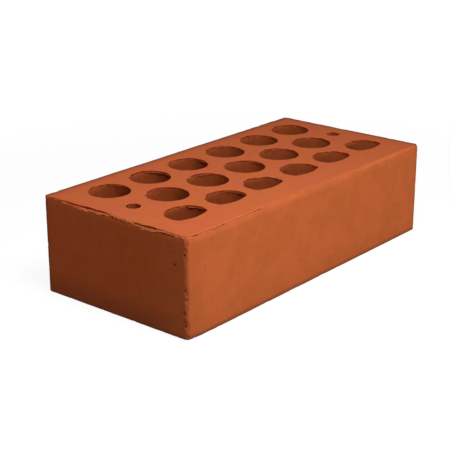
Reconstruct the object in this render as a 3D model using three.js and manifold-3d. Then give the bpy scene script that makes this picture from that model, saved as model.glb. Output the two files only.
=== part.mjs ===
// A perforated clay facing brick in the single format, one fired piece.
// Clay is pushed through a die whose cores leave the holes, and a wire cuts it to height.
// Millimetres, +Z up, origin at the centre of the lower bed. The face, the long side that is
// laid outwards, is at -Y, the rear at +Y, and the two headers are at -X and +X.
import * as THREE from "three";
import { mergeVertices, toCreasedNormals } from "three/addons/utils/BufferGeometryUtils.js";
import Module from "manifold-3d";

// Overall size, as fired
const length = 250;
const width = 120;
const height = 65;

// Rounded edges
const cornerRadius = 3; // upright corners, rounded by the mouth of the die
const bedArris = 2; // edges round both beds
const rimEase = 0.8; // edge of every hole, at both beds

// Large cores: equal triangles, in rows parallel to the face, every other row half a pitch over
const coreDiameter = 28;
const coreWeb = 10; // clay between neighbouring cores
const rearShell = 12; // wall between the rear row and the rear side
const faceShell = 20; // thicker wall behind the face, which cuts the front row short
const cutBowRadius = 30; // the cut side of a front core is bowed a little towards the face
const cutCornerRadius = 4; // corner between a front core's round and its cut side
const endShell = 12; // least wall that a row leaves at a header
const coreShift = 1.8; // the set of cores stands this far off centre, towards +X

// Small cores: one at each end of the rows that are set over
const endCoreDiameter = 9.3;
const endCoreWeb = 11.5; // clay between a small core and the last large one in its row

// Facets
const coreSides = 28;
const endCoreSides = 16;
const cornerSteps = 5;
const cutBowSteps = 5;
const cutCornerSteps = 3;
const arrisSteps = 4;
const rimSteps = 2;
const trim = 5; // spare clay round the pierced column, cut away by the outer form

// Places that follow from the sizes
const coreRadius = coreDiameter / 2;
const endCoreRadius = endCoreDiameter / 2;
const corePitch = coreDiameter + coreWeb;
const rowPitch = corePitch * Math.sin(Math.PI / 3);
const rearRowY = width / 2 - rearShell - coreRadius;
const cutY = faceShell - width / 2;
const rowCount = 1 + Math.floor((rearRowY - cutY) / rowPitch); // a front core stays at least half open
const rowRoom = length - 2 * (endShell + coreShift) - coreDiameter;
const longRowCount = 1 + Math.floor(rowRoom / corePitch);

const wasm = await Module();
wasm.setup();

// Points of an arc, counter-clockwise, with both of its ends
function arc(x, y, radius, startAngle, endAngle, steps) {
  return new THREE.EllipseCurve(x, y, radius, radius, startAngle, endAngle).getPoints(steps);
}

// Points of a full circle, its start given once
function circle(x, y, radius, sides) {
  return arc(x, y, radius, 0, 2 * Math.PI, sides).slice(0, -1);
}

// Outline of the brick seen from above, grown outwards by margin
function planOutline(margin) {
  const cornerX = length / 2 - cornerRadius;
  const cornerY = width / 2 - cornerRadius;
  const radius = cornerRadius + margin;
  return [
    [1, 1],
    [-1, 1],
    [-1, -1],
    [1, -1],
  ].flatMap(([sideX, sideY], quarter) => {
    const start = (quarter * Math.PI) / 2;
    return arc(sideX * cornerX, sideY * cornerY, radius, start, start + Math.PI / 2, cornerSteps);
  });
}

// Outline of a large core: a circle, cut by a shallow bow where the face shell begins. The arc of
// each corner touches the circle and the bow from within.
function coreOutline(x, y) {
  if (y - coreRadius >= cutY) return circle(x, y, coreRadius, coreSides);
  const bowY = cutY + cutBowRadius;
  const rise = bowY - y;
  const toCore = coreRadius - cutCornerRadius;
  const toBow = cutBowRadius - cutCornerRadius;
  const drop = (toBow ** 2 - toCore ** 2 - rise ** 2) / (2 * rise); // from core's centre to corner's
  const reach = Math.sqrt(toCore ** 2 - drop ** 2);
  const coreTurn = Math.atan2(drop, reach); // how far below level the round part ends
  const bowTurn = Math.atan2(rise + drop, reach); // how far below level the bow begins
  const leftCorner = [x - reach, y - drop, cutCornerRadius];
  const rightCorner = [x + reach, y - drop, cutCornerRadius];
  const full = 2 * Math.PI;
  const roundSides = Math.round((coreSides * (Math.PI + 2 * coreTurn)) / full);
  return [
    arc(x, y, coreRadius, -coreTurn, Math.PI + coreTurn, roundSides),
    arc(...leftCorner, Math.PI + coreTurn, Math.PI + bowTurn, cutCornerSteps),
    arc(x, bowY, cutBowRadius, Math.PI + bowTurn, full - bowTurn, cutBowSteps),
    arc(...rightCorner, full - bowTurn, full - coreTurn, cutCornerSteps),
  ].flatMap((points) => points.slice(0, -1));
}

// Outlines of every core, row by row from the rear
function coreOutlines() {
  const outlines = [];
  for (let row = 0; row < rowCount; row++) {
    const y = rearRowY - row * rowPitch;
    const setOver = row % 2 === 1;
    const count = setOver ? longRowCount - 1 : longRowCount;
    const halfRow = ((count - 1) * corePitch) / 2;
    for (let i = 0; i < count; i++) {
      outlines.push(coreOutline(coreShift + i * corePitch - halfRow, y));
    }
    if (!setOver) continue;
    const reach = halfRow + coreRadius + endCoreWeb + endCoreRadius;
    for (const side of [-1, 1]) {
      outlines.push(circle(coreShift + side * reach, y, endCoreRadius, endCoreSides));
    }
  }
  return outlines;
}

// Upright block of the brick's height on an outline, pierced by holes, with rounded edges
function uprightBlock(outline, holes, rounding, steps) {
  const shape = new THREE.Shape(outline);
  shape.holes = holes.map((points) => new THREE.Path(points));
  const block = new THREE.ExtrudeGeometry(shape, {
    depth: height - 2 * rounding,
    bevelThickness: rounding,
    bevelSize: rounding,
    bevelOffset: -rounding,
    bevelSegments: steps,
  });
  return block.translate(0, 0, rounding);
}

function toSolid(geometry) {
  geometry.deleteAttribute("normal");
  geometry.deleteAttribute("uv");
  const merged = mergeVertices(geometry);
  return new wasm.Manifold(
    new wasm.Mesh({
      numProp: 3,
      vertProperties: merged.attributes.position.array,
      triVerts: new Uint32Array(merged.index.array),
    }),
  );
}

function toGeometry(solid) {
  const { vertProperties, triVerts } = solid.getMesh();
  const geometry = new THREE.BufferGeometry();
  geometry.setAttribute("position", new THREE.BufferAttribute(vertProperties, 3));
  geometry.setIndex(new THREE.BufferAttribute(triVerts, 1));
  return toCreasedNormals(geometry);
}

const piercedColumn = uprightBlock(planOutline(trim), coreOutlines(), rimEase, rimSteps);
const outerForm = uprightBlock(planOutline(0), [], bedArris, arrisSteps);

const firedClay = new THREE.MeshStandardMaterial({
  color: 0xc4653d,
  roughness: 0.85,
  metalness: 0,
});

const brick = new THREE.Mesh(
  toGeometry(toSolid(piercedColumn).intersect(toSolid(outerForm))),
  firedClay,
);
brick.name = "brick";

const group = new THREE.Group();
group.add(brick);

export default group;
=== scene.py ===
import math

import bpy
import numpy as np
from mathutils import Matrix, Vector, geometry, noise


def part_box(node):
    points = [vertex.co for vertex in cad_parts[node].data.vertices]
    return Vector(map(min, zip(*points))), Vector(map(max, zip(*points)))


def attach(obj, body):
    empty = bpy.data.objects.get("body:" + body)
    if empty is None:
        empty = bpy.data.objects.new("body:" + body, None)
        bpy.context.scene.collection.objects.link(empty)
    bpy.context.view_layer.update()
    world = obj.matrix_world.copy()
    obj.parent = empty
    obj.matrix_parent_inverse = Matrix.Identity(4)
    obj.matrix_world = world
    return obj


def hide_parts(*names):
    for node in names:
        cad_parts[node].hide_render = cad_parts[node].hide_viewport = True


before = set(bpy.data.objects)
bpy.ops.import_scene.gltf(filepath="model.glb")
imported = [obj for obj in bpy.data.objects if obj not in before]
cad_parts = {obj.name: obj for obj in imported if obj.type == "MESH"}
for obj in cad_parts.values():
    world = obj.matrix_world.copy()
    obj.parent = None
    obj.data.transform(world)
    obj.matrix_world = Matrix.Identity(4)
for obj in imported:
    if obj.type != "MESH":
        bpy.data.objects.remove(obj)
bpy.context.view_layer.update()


# ---- The brick -------------------------------------------------------------------------------
# One fired piece of red clay. A column of soft clay is pushed through a die whose core rods leave
# the holes, a wire cuts it to height and drags burrs over its edges, and the kiln fires it hard
# and matt. The sizes here are in millimetres, and the mesh is scaled to metres once it is built.

MM = 0.001
low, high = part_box("brick")
length, width, height = [(b - a) / MM for a, b in zip(low, high)]
corner_radius = 3.0
corner_steps = 8
skin_inset = 0.12  # the skin lies this far inside the full size, so that its lumps stay within it

core_radius = 14.0
core_pitch = 38.0
core_shift = 1.8
rear_shell = 12.0
face_shell = 20.0
cut_bow_radius = 30.0
cut_corner_radius = 4.0
small_core_radius = 4.65
small_core_web = 11.5
row_pitch = core_pitch * math.sin(math.pi / 3)
rear_row_y = width / 2 - rear_shell - core_radius
cut_y = face_shell - width / 2
row_counts = (6, 5, 6)
# How far the die's core rods stand out of place, to the right and to the rear: row by row from the
# rear, then the two small ones
ROD_SHIFTS = [
    (0.5, 0.3), (0.0, 0.3), (-0.6, 0.5), (0.6, 0.3), (0.8, 0.3), (0.0, 0.2),
    (0.2, 0.6), (0.8, 0.4), (0.9, 0.3), (1.0, 0.7), (0.9, 0.4),
    (0.0, 0.2), (0.0, 0.6), (-1.0, 0.3), (0.2, 0.4), (0.0, 0.6), (0.3, 0.0),
    (-0.2, 0.9), (-0.4, 1.4),
]
# Facets of a hole's half towards the face and of its rear half, where the rim is torn, and of
# each corner, the bow and the round of a cut hole
core_sides = (34, 50)
small_core_sides = (10, 16)
cut_core_sides = (4, 12, 52)
NOWHERE = 99.0  # a distance from an edge or rim, for points that are near none


def lumps(places, size, seed, octaves=2):
    """Smooth random heights of about -1 to 1, with lumps as wide as size, one number or one an axis."""
    offset = np.array([17.3, 5.1, 9.7]) * seed
    return np.array([noise.fractal(Vector(p), 1.0, 2.0, octaves) for p in places / size + offset])


def wander(along, size, seed):
    """The same along a line, for what changes along an edge."""
    return lumps(np.column_stack([along, 0 * along, 0 * along]), size, seed)


def ramp(value, start, end):
    """0 before start and 1 after end, smooth between."""
    share = np.clip((value - start) / (end - start), 0, 1)
    return share * share * (3 - 2 * share)


def ridge(value, middle, half_width):
    """1 on the middle, falling away smoothly to both sides."""
    return np.exp(-(((value - middle) / half_width) ** 2))


def arc(center, radius, start, end, steps):
    """Points of an arc and the way each one faces, away from the arc's centre."""
    angles = np.linspace(start, end, steps + 1)
    facing = np.stack([np.cos(angles), np.sin(angles)], 1)
    return np.array(center) + radius * facing, facing


def spread(first, last, spacing):
    """Evenly spaced points between two ends, without the ends."""
    first, last = np.array(first, float), np.array(last, float)
    steps = max(1, round(np.linalg.norm(last - first) / spacing))
    return [first + (last - first) * i / steps for i in range(1, steps)]


def brick_outline():
    """The brick seen from above, counter-clockwise: its points and the way each one faces."""
    right = length / 2 - skin_inset - corner_radius
    rear = width / 2 - skin_inset - corner_radius
    # From the corner of face and right header, round the rear. Each corner has its own squareness,
    # 2 for a round one, and each side its own spacing
    corners = [(right, -rear), (right, rear), (-right, rear), (-right, -rear)]
    squareness = [2.4, 2.0, 2.4, 2.3]
    spacings = [3.0, 3.2, 0.6, 1.0]
    points, facings = [], []
    for side, center in enumerate(corners):
        start = math.pi / 2 * (side - 1)
        _, facing = arc(center, corner_radius, start, start + math.pi / 2, corner_steps)
        power = squareness[side]
        reach = np.sum(abs(facing) ** power, axis=1) ** (-1 / power)
        facing = facing * reach[:, None]
        landing = np.array(corners[(side + 1) % 4]) + corner_radius * facing[-1]
        rounded = np.array(center) + corner_radius * facing
        straight = spread(rounded[-1], landing, spacings[side])
        points += [*rounded, *straight]
        facings += [*facing, *[facing[-1]] * len(straight)]
    return np.array(points), np.array(facings)


def round_outline(center, radius, near_sides, far_sides):
    """A round hole, clockwise: its points and the way its wall faces, towards the hole's middle."""
    near, near_facing = arc(center, radius, 0, -math.pi, near_sides)
    far, far_facing = arc(center, radius, math.pi, 0, far_sides)
    return np.vstack([near[:-1], far[:-1]]), -np.vstack([near_facing[:-1], far_facing[:-1]])


def cut_outline(center):
    """A hole of the front row, clockwise: a circle cut by a shallow bow where the face shell begins.

    The arc of each corner touches the circle and the bow from within."""
    x, y = center
    bow_y = cut_y + cut_bow_radius
    rise = bow_y - y
    to_core = core_radius - cut_corner_radius
    to_bow = cut_bow_radius - cut_corner_radius
    drop = (to_bow**2 - to_core**2 - rise**2) / (2 * rise)
    reach = math.sqrt(to_core**2 - drop**2)
    core_turn = math.atan2(drop, reach)
    bow_turn = math.atan2(rise + drop, reach)
    half, full = math.pi, 2 * math.pi
    corner_sides, bow_sides, round_sides = cut_core_sides
    arcs = [
        arc((x + reach, y - drop), cut_corner_radius, full - core_turn, full - bow_turn, corner_sides),
        arc((x, bow_y), cut_bow_radius, full - bow_turn, half + bow_turn, bow_sides),
        arc((x - reach, y - drop), cut_corner_radius, half + bow_turn, half + core_turn, corner_sides),
        arc(center, core_radius, half + core_turn, -core_turn, round_sides),
    ]
    return np.vstack([points[:-1] for points, _ in arcs]), -np.vstack([facing[:-1] for _, facing in arcs])


def core_outlines():
    """Every hole as (its centre, its points, the way its wall faces), row by row from the rear."""
    outlines = []
    shifts = iter(ROD_SHIFTS)
    for row, count in enumerate(row_counts):
        y = rear_row_y - row * row_pitch
        for i in range(count):
            center = np.add((core_shift + (i - (count - 1) / 2) * core_pitch, y), next(shifts))
            is_cut = y - core_radius < cut_y
            shape = cut_outline(center) if is_cut else round_outline(center, core_radius, *core_sides)
            outlines.append((center, *shape))
    for side in (-1, 1):
        reach = 2 * core_pitch + core_radius + small_core_web + small_core_radius
        center = np.add((core_shift + side * reach, rear_row_y - row_pitch), next(shifts))
        outlines.append((center, *round_outline(center, small_core_radius, *small_core_sides)))
    return outlines


class Skin:
    """The brick's surface while it is built: points, the way each faces, marks on them, and faces.

    edge and rim are distances over the upper arris and over a hole's upper rim, 0 in the middle
    of the rounding and negative on the bed. left and face say how far a column of points belongs
    to the left header and to the face. core is the hole's number. tear is how far the wire has
    pulled a point out, which the clay shows pale, and where it is negative it paints shade into a
    crack or under a rim; scored is how heavily it is scratched."""

    # The marks of points that add() is given none for
    missing = {"edge": NOWHERE, "rim": NOWHERE, "left": 0, "face": 0, "core": -1, "tear": 0, "scored": 0}

    def __init__(self):
        self.points, self.facing, self.faces = [], [], []
        self.marks = {name: [] for name in self.missing}

    def add(self, points, facing, **marks):
        first = len(self.points)
        self.points += [tuple(p) for p in points]
        self.facing += [tuple(f) for f in facing]
        for name, values in self.marks.items():
            values += list(np.broadcast_to(marks.get(name, self.missing[name]), len(points)))
        return list(range(first, len(self.points)))

    def bridge(self, rings):
        """Faces between closed rings of the same number of points, each further on than the last."""
        for upper, lower in zip(rings, rings[1:]):
            count = len(upper)
            for i in range(count):
                j = (i + 1) % count
                self.faces.append((upper[i], lower[i], lower[j], upper[j]))


def over_edge(points, facing, radius, step, top):
    """A ring on a rounded edge, between a flat bed and an upright wall.

    step is the distance over the edge, 0 in the middle of the rounding and negative on the bed.
    Gives the ring's points and the way each faces."""
    quarter = radius * math.pi / 4
    up = 1.0 if top else -1.0
    level = height - skin_inset if top else skin_inset
    lean = np.clip((step + quarter) / radius, 0, math.pi / 2)
    inset = radius * (1 - np.sin(lean)) + np.maximum(-step - quarter, 0)
    drop = radius * (1 - np.cos(lean)) + np.maximum(step - quarter, 0)
    ring = np.column_stack([points - facing * inset[:, None], level - up * drop])
    out = np.column_stack([facing * np.sin(lean)[:, None], up * np.cos(lean)])
    return ring, out


# The left header's upper edge, from the face to the rear: place along it, how far inside the
# header the crack opens, how far the clay beyond it has sunk, and how far down this lip ends
BURR = np.array([
    (-60, 0.4, 0.10, 1.0), (-57, 1.3, 0.40, 1.1), (-53, 1.4, 0.50, 1.25), (-49.3, 1.7, 0.30, 2.4),
    (-45.5, 1.5, 0.50, 1.25), (-41.6, 1.9, 0.50, 1.2), (-37.7, 1.7, 0.50, 1.4), (-33.8, 1.5, 0.65, 2.6),
    (-30, 1.5, 0.90, 2.9), (-26, 1.1, 0.85, 3.1), (-22, 1.1, 0.65, 3.2), (-17.8, 0.9, 0.50, 1.6),
    (-14, 2.2, 0.00, 1.8), (-9.7, 2.4, 0.00, 2.1), (-5.6, 2.2, 0.00, 1.7), (-1.4, 2.3, 0.00, 1.4),
    (2.8, 1.9, 0.45, 1.3), (7, 2.6, 0.60, 1.6), (11, 2.8, 0.75, 1.8), (15.5, 2.4, 0.75, 1.7),
    (19.7, 2.6, 0.75, 2.1), (24, 2.7, 0.95, 3.1), (28.4, 2.0, 0.70, 2.3), (33, 1.8, 0.75, 1.8),
    (37, 2.0, 0.70, 1.5), (41.7, 2.2, 0.55, 1.5), (46.2, 1.8, 0.60, 1.0), (50.7, 1.9, 0.50, 0.5),
    (55, 1.0, 0.65, 0.8), (60, 0.3, 0.00, 0.6),
])
# The face's upper edge near the left header: place along it, how far over the edge a fold of clay
# lies, and how deep it is
FOLD = np.array([
    (-124, 0.0, 0.00), (-121, -0.6, 0.25), (-119, -0.1, 0.45), (-117.3, 0.5, 0.60), (-115.5, 0.5, 0.35),
    (-113.5, 0.4, 0.30), (-111.5, 0.0, 0.12), (-110, 0.0, 0.00), (-106, 0.3, 0.10), (-103.3, 0.5, 0.22),
    (-101.5, 1.2, 0.22), (-99.5, 1.2, 0.20), (-97, 0.9, 0.18), (-95, 0.6, 0.35), (-92.5, 0.5, 0.40),
    (-90.7, 0.5, 0.22), (-88.5, 0.5, 0.05), (-85, 0.5, 0.08), (-83, 0.5, 0.00), (-75, 0.4, 0.00),
    (-72, 0.4, 0.35), (-70, 0.4, 0.35), (-68, 0.3, 0.05), (-64.3, 0.0, 0.15), (-62.4, 0.2, 0.40),
    (-60.5, 0.0, 0.15), (-58.5, 0.0, 0.35), (-56.5, 0.5, 0.12), (-54, 0.0, 0.00),
])
FOLD_REACH = 2.6  # the rings that follow the fold are back in line this far from it
LIP_STEPS = 1.7  # the steps over the header's edge that the lip takes
# Steps over the upper edge, close together where it is torn, and how far down the last one lies
UPPER_STEPS = [-2.3, -1.9, -1.5, -1.05, -0.7, -0.4, -0.18, -0.05, 0.05, 0.18, 0.34, 0.55, 0.8, 1.1,
               1.4, 1.7, 1.9, 2.15, 2.5, 2.9, 3.3, 3.8, 4.4, 5.1, 5.8, 6.6]
LAST_DOWN = 6.8
LOWER_STEPS = [4, 3, 2.2, 1.5, 0.9, 0.4, 0, -0.5, -1.2, -2.2]
WALL_ROWS = 50


def burr(step, crack_in, sunk, lip_end, bulge, is_joined):
    """The header's upper edge at one step over it: how far out it is and how far down.

    Where the lip is joined to the bed it rounds over the edge, and elsewhere it is a flat strip
    beyond the crack."""
    if step < 0:
        return step - crack_in, np.zeros(len(crack_in))
    turn = min(step / LIP_STEPS, 1) * math.pi / 2
    straight = turn / (math.pi / 2)
    out_share = straight + (math.sin(turn) - straight) * is_joined
    down_share = straight + (1 - math.cos(turn) - straight) * is_joined
    out = -crack_in + (crack_in + bulge) * out_share
    down = sunk + (lip_end - sunk) * down_share
    if step > LIP_STEPS:
        below = (step - LIP_STEPS) / (UPPER_STEPS[-1] - LIP_STEPS)
        out = out - bulge * ramp(step, LIP_STEPS, UPPER_STEPS[-1]) - 0.15 * is_joined * ridge(step, 2.2, 0.4)
        down = lip_end + (LAST_DOWN - lip_end) * below
    crack = 0.9 * sunk * ridge(step, 0.12, 0.13)
    return out, down + crack


def build_sides(skin):
    """The four outer sides with their rounded edges, as rings from the upper bed to the lower."""
    points, facing = brick_outline()
    x, y = points.T
    left = ramp(-facing[:, 0], 0.2, 0.95)
    face = ramp(-facing[:, 1], 0.2, 0.95)

    # The lip on the left header is ragged, joined to the bed near the middle, and curled near the face
    ragged = wander(y, 2.4, 5)
    crack_in, sunk, lip_end = [np.interp(y, BURR[:, 0], column) for column in BURR.T[1:]]
    crack_in = np.maximum(crack_in + 0.2 * ragged, 0.08)
    sunk = sunk * (1 + 0.3 * wander(y, 3.5, 6))
    lip_end = lip_end + 0.45 * ragged + 0.3 * wander(y, 1.3, 12)
    bulge = 0.08 + 0.10 * ragged + 0.10 * wander(y, 1.4, 9) + 0.1 * wander(y, 7, 10)
    bulge = np.clip(bulge, 0.0, 0.3) * (1 - ramp(abs(y), 55, 60))
    is_joined = ramp(y, -17, -13) * (1 - ramp(y, 1.5, 4))
    is_curled = ramp(y, -51, -47) * (1 - ramp(y, -32, -29))
    fold, fold_depth = [np.interp(x, FOLD[:, 0], column) for column in FOLD.T[1:]]

    # The face has a softer arris than the other sides
    around = x + 3 * y
    radius = 1.1 + 0.7 * face
    radius = radius * (1 + 0.2 * wander(around, 14, 1) + 0.25 * wander(around, 3.5, 23))
    radius = np.clip(radius, 0.4, 2.65)
    rings = []
    for step in UPPER_STEPS:
        on_fold = face * fold * max(1 - abs(step) / FOLD_REACH, 0)
        ring, out = over_edge(points, facing, radius, step + on_fold, True)
        # The left header's edge is the torn one
        outwards, down = burr(step, crack_in, sunk, lip_end, bulge, is_joined)
        torn = np.column_stack([points + facing * outwards[:, None], height - skin_inset - down])
        ring += (torn - ring) * left[:, None]
        lean = ramp(step, -0.1, 1.9) * math.pi / 2
        torn_out = np.column_stack([facing * math.sin(lean), np.full(len(x), math.cos(lean))])
        out += (torn_out - out) * left[:, None]
        # The fold on the face stands up on both sides of its crack, and the lip curls outwards
        crest = fold_depth * (0.2 * ridge(step, -0.5, 0.3) + 0.4 * ridge(step, 1.2, 0.4))
        crack = fold_depth * (ridge(step, 0.25, 0.3) + 0.3 * ridge(step, 0.9, 0.5))
        ring += out * (face * (crest - crack))[:, None]
        curl = 0.3 * left * is_curled * ridge(step, 1.55, 0.25)
        ring += out * curl[:, None]
        # Torn clay is pale where it stands out; the cracks and the hollow under the lip get painted shade
        painted_crack_shade = 1.5 * sunk * ridge(step, 0.08, 0.15) * left + 1.1 * fold_depth * ridge(step, 0.3, 0.7) * face
        painted_crack_shade += 0.3 * left * np.maximum(is_joined, 0.6 * is_curled) * ridge(step, 2.2, 0.3)
        pale = 1.5 * left * bulge * ridge(step, 0.5, 0.3)
        pale = pale + 0.1 * left * ramp(step, 0.35, 0.8) * (1 - ramp(step, 1.4, 1.9))
        frayed = 0.7 * face * ridge(step, 0.1, 1.0) * wander(x, 1.7, 31) * (1 - 0.6 * ramp(x, -60, 10))
        tear = pale + curl - painted_crack_shade + frayed
        rings.append(skin.add(ring, out, edge=step, left=left, face=face, tear=tear))

    lower_radius = 1.1 * (1 + 0.15 * wander(around, 9, 2))
    lower_rings = [over_edge(points, facing, lower_radius, step, False) for step in LOWER_STEPS]
    first = np.array([skin.points[i] for i in rings[-1]])
    last = lower_rings[0][0]
    level = np.column_stack([facing, 0 * left])
    wall = [(first + (last - first) * row / WALL_ROWS, level) for row in range(1, WALL_ROWS)]
    for ring, out in wall + lower_rings:
        rings.append(skin.add(ring, out, edge=height - ring[:, 2], left=left, face=face))
    skin.bridge(rings)
    return rings[0], rings[-1]


# Rims that the wire tore badly: the hole's number, the angle of the tear's middle, its reach to
# each side, both in degrees, and its size
TEARS = [
    (0, 30, 30, 0.4), (1, 20, 50, 1.0), (2, 10, 42, 0.9), (3, 50, 34, 0.8), (4, 68, 26, 0.6),
    (6, 68, 26, 0.8), (10, 75, 26, 0.6), (7, 55, 34, 1.0), (8, 95, 22, 0.7), (8, 5, 32, 0.6),
    (9, 60, 40, 0.9), (11, 22, 36, 1.0), (12, 25, 42, 0.8), (13, 100, 24, 1.0), (14, 70, 30, 0.7),
    (15, 92, 20, 0.9), (16, 40, 30, 0.6),
]
UPPER_RIM_STEPS = [-2.6, -1.9, -1.3, -0.8, -0.4, -0.15, 0.05, 0.22, 0.4, 0.6, 0.8, 1.0, 1.22, 1.45,
                   1.9, 2.8, 4.5, 8, 16]
LOWER_RIM_STEPS = [26, 9, 2.4, 0.6, 0, -0.5, -1.4]


def build_core(skin, index, center, points, facing):
    """One hole, as rings from the upper bed down through the brick to the lower bed."""
    flat = np.column_stack([points, 0 * points[:, 0]])
    # The die's core rods are worn a little out of true, so no two holes are quite alike
    points = points + facing * 0.2 * lumps(flat, 9, 2)[:, None]
    radius = 0.35 + 0.12 * lumps(flat, 4, 3)
    turn = np.arctan2(points[:, 1] - center[1], points[:, 0] - center[0])

    # The wire tore the rear right side of each rim back, over a ledge with a crack in painted shade,
    # and drew the clay in elsewhere: most on the left in the rear row, and at the rear in the other rows
    is_far = ramp(np.cos(turn - math.radians(45)), 0.15, 0.7)
    is_right = ramp(np.cos(turn + math.radians(35)), 0.35, 0.95)
    is_left = ramp(np.cos(turn - math.radians(140)), 0.3, 0.9)
    is_rear = ramp(np.sin(turn), 0.3, 0.9)
    in_rear_row = index < row_counts[0]
    is_large = 1.0 * (index < sum(row_counts))
    drawn_by_row = 0.4 * is_left + 0.35 * is_far if in_rear_row else 0.5 * is_rear - 0.15 * is_left
    drawn_in = (0.3 * is_right + drawn_by_row) * is_large
    scoring = np.clip(0.35 + 0.35 * is_left + 0.8 * lumps(flat, 5, 30), 0, 1)
    ragged = lumps(flat, 1.3, 18)
    torn_back = is_far * np.clip(0.5 + 0.7 * lumps(flat, 4, 17), 0.05, 1)
    broken = np.clip(0.75 + 0.9 * lumps(flat, 3, 24), 0.1, 1.3)
    chalky = np.clip(0.5 + 0.9 * lumps(flat, 2.5, 27), 0, 1)
    lifted = np.clip(0.4 + 1.4 * lumps(flat, 2.2, 28), 0, 1)
    rings = []
    for step in UPPER_RIM_STEPS:
        ring, out = over_edge(points, facing, radius, step, True)
        on_rim = ramp(step, -1.3, -0.2) * (1 - ramp(step, 0.4, 0.8))
        inwards = (0.18 + 0.2 * is_left) * ragged * on_rim
        inwards = inwards + drawn_in * ramp(step, -1.3, -0.2) * (1 - ramp(step, 1, 14))
        inwards = inwards - 0.65 * torn_back * ramp(step, -2.6, -0.4) * (1 - ramp(step, 0.22, 0.6))
        # Painted shade on torn rims, each rim's rounding and the upper right wall; pale on crumbs and chalky
        # bed
        tear = -1.7 * torn_back * ridge(step, 0.32, 0.4) - 0.42 * ridge(step, 0.55, 0.45)
        tear = tear + 1.0 * torn_back * lifted * ridge(step, 0.75, 0.2)
        tear = tear - 0.5 * is_right * ramp(step, 0.2, 0.6) * (1 - ramp(step, 1, 7))
        tear = tear + 0.35 * chalky * (1 - 0.6 * is_far) * ridge(step, -0.9, 0.6)
        for core, angle, reach, size in TEARS:
            if core != index:
                continue
            # A flap of clay leans into the hole, its gap above in painted shade, a painted shadow under it
            away = (turn - math.radians(angle) + math.pi) % (2 * math.pi) - math.pi
            share = size * broken * (1 - ramp(abs(away), 0.5 * math.radians(reach), math.radians(reach)))
            flap = share * (0.6 + 0.5 * ragged) * ramp(step, 0.5, 0.75) * (1 - ramp(step, 1.1, 1.35))
            gap = share * ridge(step, 0.25, 0.3)
            shadow = share * ramp(step, 1.2, 1.6) * (1 - ramp(step, 2, 4))
            inwards = inwards + 1.1 * flap - 0.5 * gap
            tear = tear + 1.0 * flap - 2.0 * gap - 0.3 * shadow
        ring[:, :2] += facing * inwards[:, None]
        scored = scoring * (ridge(step, 0.7, 0.7) + 0.8 * is_left * ridge(step, -0.2, 0.5))
        rings.append(skin.add(ring, out, rim=step, core=index, tear=tear, scored=scored))
    for step in LOWER_RIM_STEPS:
        ring, out = over_edge(points, facing, radius, step, False)
        rings.append(skin.add(ring, out, core=index))
    skin.bridge(rings)
    return rings[0], rings[-1]


def inside(loop, spots):
    """Which spots lie inside a closed loop, seen from above."""
    x, y = spots[:, :1], spots[:, 1:]
    ahead = np.roll(loop, -1, axis=0)
    crosses = (loop[:, 1] > y) != (ahead[:, 1] > y)
    rise = np.where(ahead[:, 1] == loop[:, 1], 1.0, ahead[:, 1] - loop[:, 1])
    meets = loop[:, 0] + (y - loop[:, 1]) / rise * (ahead[:, 0] - loop[:, 0])
    return np.sum(crosses & (x < meets), axis=1) % 2 == 1


SCATTER = 0.28  # how far a bed's points stray from their grid, in spacings
CLEAR = 0.75  # how far they keep from an edge or rim, in spacings
SAME_SPOT = 0.00001


def build_bed(skin, outer, holes, spacing, top):
    """A bed: triangles between the ring at the brick's edge and the rings of the holes."""
    loops = [np.array([skin.points[i][:2] for i in ring]) for ring in (outer, *holes)]
    xs = np.arange(-length / 2, length / 2, spacing)
    ys = np.arange(-width / 2, width / 2, spacing * math.sqrt(3) / 2)
    grid = np.array([(x + spacing / 2 * (row % 2), y) for row, y in enumerate(ys) for x in xs])
    random = np.random.default_rng(7)
    grid += random.uniform(-SCATTER, SCATTER, grid.shape) * spacing
    for number, loop in enumerate(loops):
        gaps = np.linalg.norm(grid[:, None] - loop[None], axis=2).min(axis=1)
        within = inside(loop, grid)
        grid = grid[(gaps > CLEAR * spacing) & (within if number == 0 else ~within)]
    edges, first = [], 0
    for loop in loops:
        edges += [(first + i, first + (i + 1) % len(loop)) for i in range(len(loop))]
        first += len(loop)
    spots = np.vstack([*loops, grid])
    cut_up = geometry.delaunay_2d_cdt([Vector(p) for p in spots], edges, [], 0, SAME_SPOT)
    _, _, faces, origins, _, _ = cut_up
    faces = np.array([[origins[i][0] for i in face] for face in faces])
    middles = spots[faces].mean(axis=1)
    kept = inside(loops[0], middles)
    for loop in loops[1:]:
        kept &= ~inside(loop, middles)
    level = height - skin_inset if top else skin_inset
    flat = np.column_stack([grid, np.full(len(grid), level)])
    made = skin.add(flat, [(0, 0, 1.0 if top else -1.0)] * len(grid), edge=-NOWHERE if top else NOWHERE)
    ids = np.array([i for ring in (outer, *holes) for i in ring] + made)
    for face in ids[faces[kept]]:
        skin.faces.append(tuple(face if top else face[::-1]))


skin = Skin()
upper_outer, lower_outer = build_sides(skin)
core_rings = [build_core(skin, i, *outline) for i, outline in enumerate(core_outlines())]
build_bed(skin, upper_outer, [upper for upper, _ in core_rings], spacing=2.1, top=True)
build_bed(skin, lower_outer, [lower for _, lower in core_rings], spacing=3.4, top=False)

place = np.array(skin.points)
facing = np.array(skin.facing)
marks = {name: np.array(values, float) for name, values in skin.marks.items()}
edge, rim, left, face = marks["edge"], marks["rim"], marks["left"], marks["face"]
in_core = marks["core"] >= 0
outside = ~in_core & (edge > -NOWHERE)  # the sides with their edges, and the lower bed
x, y, z = place.T
from_left, from_right = length / 2 + x, length / 2 - x
from_face, from_rear = width / 2 + y, width / 2 - y
down = height - z
along_header = np.minimum(from_face, from_rear)  # how far from its nearer end


def dent(distance, radius, depth):
    """A small crater with a faint raised rim."""
    raised = 0.12 * depth * ridge(distance, 1.2 * radius, 0.3 * radius)
    return raised - depth * (1 - ramp(distance, 0.2 * radius, radius))


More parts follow.
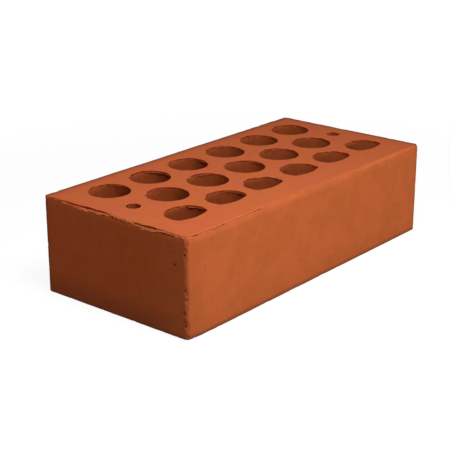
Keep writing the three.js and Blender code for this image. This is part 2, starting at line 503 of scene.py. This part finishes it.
# Pits, as (place along the side, height, radius, depth): first the left header's, then the face's
HEADER_PITS = [
    (-12.1, 51.5, 1.3, 0.5), (6.0, 36.8, 1.3, 0.5), (-49.6, 45.6, 1.6, 0.6), (-30.5, 25.0, 0.9, 0.3),
    (33.0, 19.5, 1.0, 0.3), (-58.0, 53.5, 1.4, 0.6), (-57.8, 31.0, 1.4, 0.5), (-57.5, 17.0, 1.3, 0.8),
    (-57.8, 12.0, 1.2, 0.6), (-58.2, 9.0, 1.4, 0.6), (57.6, 40.5, 1.8, 0.2), (57.8, 32.0, 2.0, 0.25),
    (57.6, 25.5, 1.9, 0.25), (57.8, 14.0, 1.9, 0.3), (57.6, 9.0, 1.8, 0.25), (57.9, 59.0, 1.6, 0.2),
]
FACE_PITS = [
    (-32.0, 52.8, 1.3, 0.4), (-6.7, 41.7, 1.2, 0.4), (-64.0, 26.7, 1.1, 0.3), (66.0, 7.0, 1.0, 0.3),
    (-110.0, 43.0, 1.3, 0.35), (31.0, 20.5, 0.9, 0.25), (92.0, 36.0, 0.9, 0.25),
]
pitting = np.zeros(len(place))
for along, share, pits in ((y, left, HEADER_PITS), (x, face, FACE_PITS)):
    for spot, up, radius, depth in pits:
        distance = np.hypot(along - spot, z - up)
        near = (distance < 3 * radius) & (share > 0.1)
        pitting[near] += share[near] * dent(distance[near], radius, depth)

# Three short scratches across the header
for spot, up in ((-46.5, 55.8), (-50.5, 54.2), (-46.8, 52.6)):
    scratch = np.hypot((y - spot) / 3.0, (z - up) / 0.55)
    pitting -= 0.2 * (left > 0.9) * (1 - ramp(scratch, 0.4, 1))

# A flake is gone from the header under the burr
flake = np.hypot((y + 43.5) / 4.0, (z - 62.4) / 1.1)
pitting -= 0.25 * left * (edge > 1.2) * (1 - ramp(flake, 0.5, 1.1))

# The wire pulled the clay in a little under the burr, and the lip itself is torn and fibrous
pulled_in = -0.4 * left * ramp(along_header, 1, 7) * np.clip((z - 58.5) / 5.5, 0, 1) ** 2
on_lip = left * ramp(edge, 0.3, 0.9) * (1 - ramp(edge, 1.6, 3)) * ramp(along_header, 1, 5)
layers = lumps(np.column_stack([y + 1.2 * edge, edge, 0 * y]), np.array([3.5, 0.75, 1]), 19)
fibres = 0.16 * layers * on_lip

# The face leans back a little under its upper edge, most of all near the left header
soft = 1 - ramp(x, 20, 110)
lean_back = (0.42 + 0.45 * soft) * (1 + 0.2 * wander(x, 12, 22))
under_edge = np.clip(1 - down / (4.3 + 0.7 * soft), 0, 1) ** 1.4
pillow = -lean_back * face * ramp(edge, -1.2, 0.8) * under_edge

# The whole skin: long soft waves and short ones, chipped edges, and what the die and wire drew
waves = 0.05 * lumps(place, 36, 11) + 0.03 * lumps(place, 8, 12)
chips = -0.35 * ramp(lumps(place, 2.4, 13), 0.25, 0.6) * ridge(edge, 0, 1.1)
upright_edge = ridge(along_header, 0.8, 1.3) * ridge(np.minimum(from_left, from_right), 0.8, 1.3)
near_left = (y < 0) * (x < 0)
worn = np.maximum(upright_edge * (0.12 + 0.5 * near_left), 0.12 * ridge(z, 0.5, 1.5))
chips -= outside * ramp(lumps(place, 2.6, 14), 0.1, 0.5) * worn
streaks = 0.05 * lumps(place, np.array([2.5, 2.5, 60]), 15) * in_core
drag = 0.02 * lumps(place, np.array([50, 2.6, 50]), 16) * (abs(facing[:, 2]) > 0.9)

# The upright edge between face and left header was pressed in while the clay was soft
to_corner = np.clip(1 - from_face / 8, 0, 1)
rounded = -0.2 * left * to_corner**2
relief = waves + chips + streaks + drag + pitting + pulled_in + fibres + pillow + rounded
place = place + facing * relief[:, None]
place[:, 1] += 1.3 * np.clip(1 - from_left / 14, 0, 1) ** 1.5 * to_corner
place = np.clip(place, np.array(low) / MM, np.array(high) / MM)

# What the clay shows of the wire's cut, the die's walls and the header
cut = np.where(in_core, 1 - ramp(rim, -0.2, 0.3), 1 - ramp(edge, -0.9, 0.9))
cut = np.where(facing[:, 2] < -0.5, 1, cut)
hollow = in_core * ramp(rim, -0.1, 0.5)
on_header = ~in_core * ramp(abs(facing[:, 0]), 0.2, 0.95)

# Painted shade darkens the rear and right arrises, two upright edges, the foot, the clay low down
# and, faintly, the face's upper edge and left end. On the lip it is a duller tone and painted shade
on_top = (facing[:, 2] > 0.1) * (z > height / 2) * ~in_core
far_arris = np.minimum(from_rear, from_right)
rear_left = ridge(from_rear, 0, 3.0) * ridge(from_left, 0, 2.6)
lip_dull_and_shade = left * ramp(edge, 0.25, 0.6) * (1 - ramp(edge, 1.2, 2.1))
painted_shade = np.maximum.reduce([
    on_top * (0.75 * ridge(far_arris, 0, 2.8) + 0.2 * ridge(far_arris, 0, 6)),
    outside * (0.55 + 0.15 * ramp(down, 15, 45)) * rear_left,
    0.55 * outside * ridge(from_face, 0, 2.4) * ridge(from_right, 0, 3.0),
    outside * (0.75 - 0.05 * face) * ridge(z, 0.3, 1.7 + 0.9 * face),
    outside * (0.07 + 0.31 * on_header * ramp(y, -56, -30)) * (1 - ramp(z, 3, 20)),
    0.33 * lip_dull_and_shade,
    0.08 * face * ridge(edge, 0.3, 1.5) * (1 - ramp(x, 40, 100)),
    0.08 * face * outside * (1 - ramp(x, -122, -108)),
])
shown = {
    # Painted shade darkens the pits, the scratches and the missing flake
    "tear": marks["tear"] + (1.1 + 0.9 * face) * pitting + (1.7 * layers - 0.02) * on_lip,
    "scored": marks["scored"],
    "cut": cut,
    "hollow": hollow,
    # The headers' redder painted shade fades on the left header towards the lit face
    "header": on_header * (1 - 0.5 * left * ramp(-y, 15, 58)),
    "painted_shade": painted_shade,
}

mesh = bpy.data.meshes.new("brick_body")
mesh.from_pydata(place * MM, [], skin.faces)
mesh.shade_smooth()
for name, values in shown.items():
    mesh.attributes.new(name, "FLOAT", "POINT").data.foreach_set("value", values.astype(np.float32))
brick = bpy.data.objects.new("fired_brick", mesh)
bpy.context.scene.collection.objects.link(brick)


class Shade:
    """One socket of a shader's node tree. Sums and products of it add Math nodes."""

    tree = None

    def __init__(self, socket):
        self.socket = socket

    @classmethod
    def node(cls, kind, settings=None, inputs=None, output=0):
        """Adds a node: its settings first, then the values or links of its sockets."""
        made = cls.tree.nodes.new("ShaderNode" + kind)
        for name, value in (settings or {}).items():
            setattr(made, name, value)
        for name, value in (inputs or {}).items():
            socket = cls.pick(made.inputs, name)
            if isinstance(value, Shade):
                cls.tree.links.new(value.socket, socket)
            else:
                socket.default_value = value
        return cls(cls.pick(made.outputs, output)) if made.outputs else None

    @staticmethod
    def pick(sockets, name):
        """A socket by its number, or the one in use by its name."""
        if isinstance(name, int):
            return sockets[name]
        return next(s for s in sockets if s.enabled and s.name == name)

    def math(self, operation, *others):
        """A Math node of this and the others, which may be plain numbers."""
        return Shade.node("Math", {"operation": operation}, dict(enumerate([self, *others])))

    def __add__(self, other):
        return self.math("ADD", other)

    __radd__ = __add__

    def __mul__(self, other):
        return self.math("MULTIPLY", other)

    __rmul__ = __mul__

    def __sub__(self, other):
        return self.math("SUBTRACT", other)

    def __rsub__(self, other):
        return self * -1 + other

    def ramp(self, start, end, first=0.0, last=1.0):
        """first before start and last after end, smooth between."""
        ends = {"Value": self, "From Min": start, "From Max": end, "To Min": first, "To Max": last}
        return Shade.node("MapRange", {"interpolation_type": "SMOOTHSTEP"}, ends)

    def blend(self, first, second):
        """The first colour where this is 0 and the second where it is 1."""
        colors = {"Factor": self, "A": first, "B": second}
        return Shade.node("Mix", {"data_type": "RGBA"}, colors, output="Result")


clay = bpy.data.materials.new("fired_clay")
clay.use_nodes = True
clay.node_tree.nodes.clear()
Shade.tree = clay.node_tree
where = Shade.node("TexCoord", output="Object")


def mark(name):
    """A number that the mesh carries at each of its points."""
    return Shade.node("Attribute", {"attribute_name": name}, output="Fac")


def grain(size, detail=2.0, stretch=(1, 1, 1), seed=0.0):
    """Noise from 0 to 1, its grains as wide as size in millimetres, times stretch along each axis."""
    scale = [1 / (size * MM * part) for part in stretch]
    scale_and_shift = {0: where, 1: scale, 2: (seed, seed, seed)}
    moved = Shade.node("VectorMath", {"operation": "MULTIPLY_ADD"}, scale_and_shift)
    return Shade.node("TexNoise", {}, {"Vector": moved, "Scale": 1.0, "Detail": detail})


bed_color = (0.580, 0.138, 0.044, 1)
bed_pink = (0.590, 0.130, 0.052, 1)
side_color = (0.672, 0.153, 0.047, 1)
side_brown = (0.616, 0.144, 0.041, 1)
# The headers' redder tints stand in for how the clay looks in shade: painted shade
header_shade_red = (0.595, 0.112, 0.028, 1)
header_shade_brown = (0.580, 0.122, 0.036, 1)
# Hole walls, darker and redder than the sides: painted shade
core_shade_color = (0.455, 0.095, 0.028, 1)
core_shade_brown = (0.405, 0.093, 0.025, 1)
pale_color = (0.640, 0.185, 0.080, 1)
dark_color = (0.180, 0.018, 0.004, 1)
# The tone of the darker clouds, and of the painted shade
cloud_and_shade_color = (0.155, 0.047, 0.025, 1)

cut_mark, torn_and_shade_mark, hollow_mark = mark("cut"), mark("tear"), mark("hollow")
scored_mark, header_shade_mark, painted_shade_mark = mark("scored"), mark("header"), mark("painted_shade")

# The beds, the long sides and the headers each have two tints in soft patches, with faint clouds
patches = grain(16, 2, seed=3)
small_patches = grain(9, 2, seed=7)
bed = patches.ramp(0.40, 0.62).blend(bed_color, bed_pink)
side = (patches * 0.7 + small_patches * 0.3).ramp(0.42, 0.60).blend(side_color, side_brown)
# The headers take the redder tints of painted shade
header = (patches * 0.5 + small_patches * 0.5).ramp(0.42, 0.60).blend(header_shade_red, header_shade_brown)
body = cut_mark.blend(header_shade_mark.blend(side, header), bed)
clouds = grain(6, 3, seed=21)
body = clouds.ramp(0.48, 0.30, 0, 0.05).blend(body, cloud_and_shade_color)
body = clouds.ramp(0.52, 0.70, 0, 0.10).blend(body, pale_color)

# The walls of the holes are streaked from top to bottom, and darker and redder as painted shade
core_streaks = grain(2.5, 2, (1, 1, 20), 19)
body = hollow_mark.blend(body, core_streaks.ramp(0.35, 0.65).blend(core_shade_color, core_shade_brown))

# Clay that is torn out is pale, cracks and torn rims are in painted shade, and scratches are both
body = torn_and_shade_mark.ramp(0.15, 0.60).blend(body, pale_color)
body = (torn_and_shade_mark * -1).ramp(0.20, 0.75).blend(body, dark_color)
teeth = grain(0.75, 1, (1, 1, 3), 17)
body = (scored_mark * teeth.ramp(0.50, 0.62)).blend(body, dark_color)
body = (scored_mark * teeth.ramp(0.50, 0.38, 0, 0.6)).blend(body, pale_color)

# Specks in the clay, and the painted shade of arrises, foot and lip over everything
speck = grain(1.6, 1, seed=11)
body = speck.ramp(0.27, 0.22, 0, 0.25).blend(body, dark_color)
body = speck.ramp(0.73, 0.80, 0, 0.30).blend(body, pale_color)
body = painted_shade_mark.blend(body, cloud_and_shade_color)

# The wire left fine lines along the beds and the die left upright ones, among pores and grit
fine = grain(0.7, 4, seed=1)
pores = grain(1.3, 2, seed=5).ramp(0.36, 0.26)
wire_marks = grain(2.2, 3, (16, 1, 1), 9)
die_marks = grain(1.8, 2, (1, 1, 24), 13)
lines = 0.09 * cut_mark * wire_marks + 0.07 * (1 - cut_mark) * die_marks
bumps = lines + 0.10 * fine - 0.12 * pores
surface = Shade.node("BsdfPrincipled", {}, {
    "Base Color": body,
    "Roughness": 0.80 + 0.14 * fine,
    "Specular IOR Level": 0.0,
    "Normal": Shade.node("Bump", {}, {"Height": bumps, "Distance": MM, "Strength": 1.0}),
})
Shade.node("OutputMaterial", {}, {"Surface": surface})
mesh.materials.append(clay)

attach(brick, "root")
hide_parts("brick")


# ---- The studio ------------------------------------------------------------------------------
# A white floor and backdrop. Three small softboxes hang over the brick, and three broad ones stand
# low down: the strongest in front of the face, the others on the left and behind. The camera looks
# down on the near left corner from 0.8 m away.

floor_reach = 6.0
floor_grey = (0.08, 0.08, 0.08, 1)
floor_white = (0.9, 0.9, 0.9, 1)
white = (1, 1, 1, 1)

floor_mesh = bpy.data.meshes.new("floor")
floor_corners = [(i * floor_reach, j * floor_reach, 0) for i, j in ((-1, -1), (1, -1), (1, 1), (-1, 1))]
floor_mesh.from_pydata(floor_corners, [], [(0, 1, 2, 3)])
floor = bpy.data.objects.new("floor", floor_mesh)
bpy.context.scene.collection.objects.link(floor)
floor_paint = bpy.data.materials.new("floor_paint")
floor_paint.use_nodes = True
floor_paint.node_tree.nodes.clear()
Shade.tree = floor_paint.node_tree
camera_ray = Shade.node("LightPath", output="Is Camera Ray")
glossy_ray = Shade.node("LightPath", output="Is Glossy Ray")
# The camera sees a white floor that keeps a faint shadow near the brick, and the brick a grey one
matt = Shade.node("BsdfDiffuse", {}, {"Color": floor_grey})
bright = Shade.node("BsdfDiffuse", {}, {"Color": floor_white})
glow = Shade.node("Emission", {}, {"Color": white, "Strength": 1.12})
floor_place = Shade.node("TexCoord", output="Object")
away = Shade.node("VectorMath", {"operation": "LENGTH"}, {0: floor_place}, output="Value")
seen = Shade.node("MixShader", {}, {0: away.ramp(0.2, 0.8, 0.8, 1.0), 1: bright, 2: glow})
paint = Shade.node("MixShader", {}, {0: camera_ray.math("MAXIMUM", glossy_ray), 1: matt, 2: seen})
Shade.node("OutputMaterial", {}, {"Surface": paint})
floor_mesh.materials.append(floor_paint)

world = bpy.data.worlds.new("studio")
bpy.context.scene.world = world
world.use_nodes = True
world.node_tree.nodes.clear()
Shade.tree = world.node_tree
# The backdrop lights the brick only a little, and the camera sees it white
fill = Shade.node("Background", {}, {"Color": white, "Strength": 0.03})
backing = Shade.node("Background", {}, {"Color": white, "Strength": 1.0})
camera_ray = Shade.node("LightPath", output="Is Camera Ray")
backdrop = Shade.node("MixShader", {}, {0: camera_ray, 1: fill, 2: backing})
Shade.node("OutputWorld", {}, {"Surface": backdrop})


def lamp(name, place, target, size, power):
    """A softbox at place, in metres, turned to target, its power in watts."""
    light = bpy.data.lights.new(name, "AREA")
    light.shape = "RECTANGLE"
    light.size, light.size_y = size
    light.energy = power
    made = bpy.data.objects.new(name, light)
    made.location = place
    made.rotation_euler = (Vector(target) - Vector(place)).to_track_quat("-Z", "Y").to_euler()
    bpy.context.scene.collection.objects.link(made)


on_bed = (-0.05, -0.04, 0.065)
on_brick = (0, -0.02, 0.04)
lamp("near_lamp", (-0.13, -0.20, 0.42), on_bed, (0.2, 0.2), 1.17)
lamp("side_lamp", (-0.13, -0.30, 0.75), on_bed, (0.35, 0.35), 0.92)
lamp("top_lamp", (0.05, 0.10, 0.75), on_bed, (0.35, 0.35), 0.75)
lamp("front_lamp", (0.526, -1.719, 0.134), on_brick, (0.6, 0.6), 20.2)
lamp("rear_lamp", (-1.557, 0.899, 0.134), on_brick, (0.6, 0.6), 8.15)
lamp("back_lamp", (0.50, 1.65, 0.11), (0, 0.02, 0.04), (0.6, 0.2), 7.0)

camera_data = bpy.data.cameras.new("camera")
camera_data.sensor_width = 36.0
camera_data.lens = 96.065
camera = bpy.data.objects.new("camera", camera_data)
bpy.context.scene.collection.objects.link(camera)
target = Vector((-0.02471, -0.00405, 0.032))
azimuth, elevation, distance = math.radians(-50.272), math.radians(19.804), 0.79409
level = math.cos(elevation)
back = Vector((math.sin(azimuth) * level, -math.cos(azimuth) * level, math.sin(elevation)))
camera.location = target + back * distance
camera.rotation_euler = (-back).to_track_quat("-Z", "Y").to_euler()
bpy.context.scene.camera = camera
bpy.context.scene.view_settings.view_transform = "Standard"
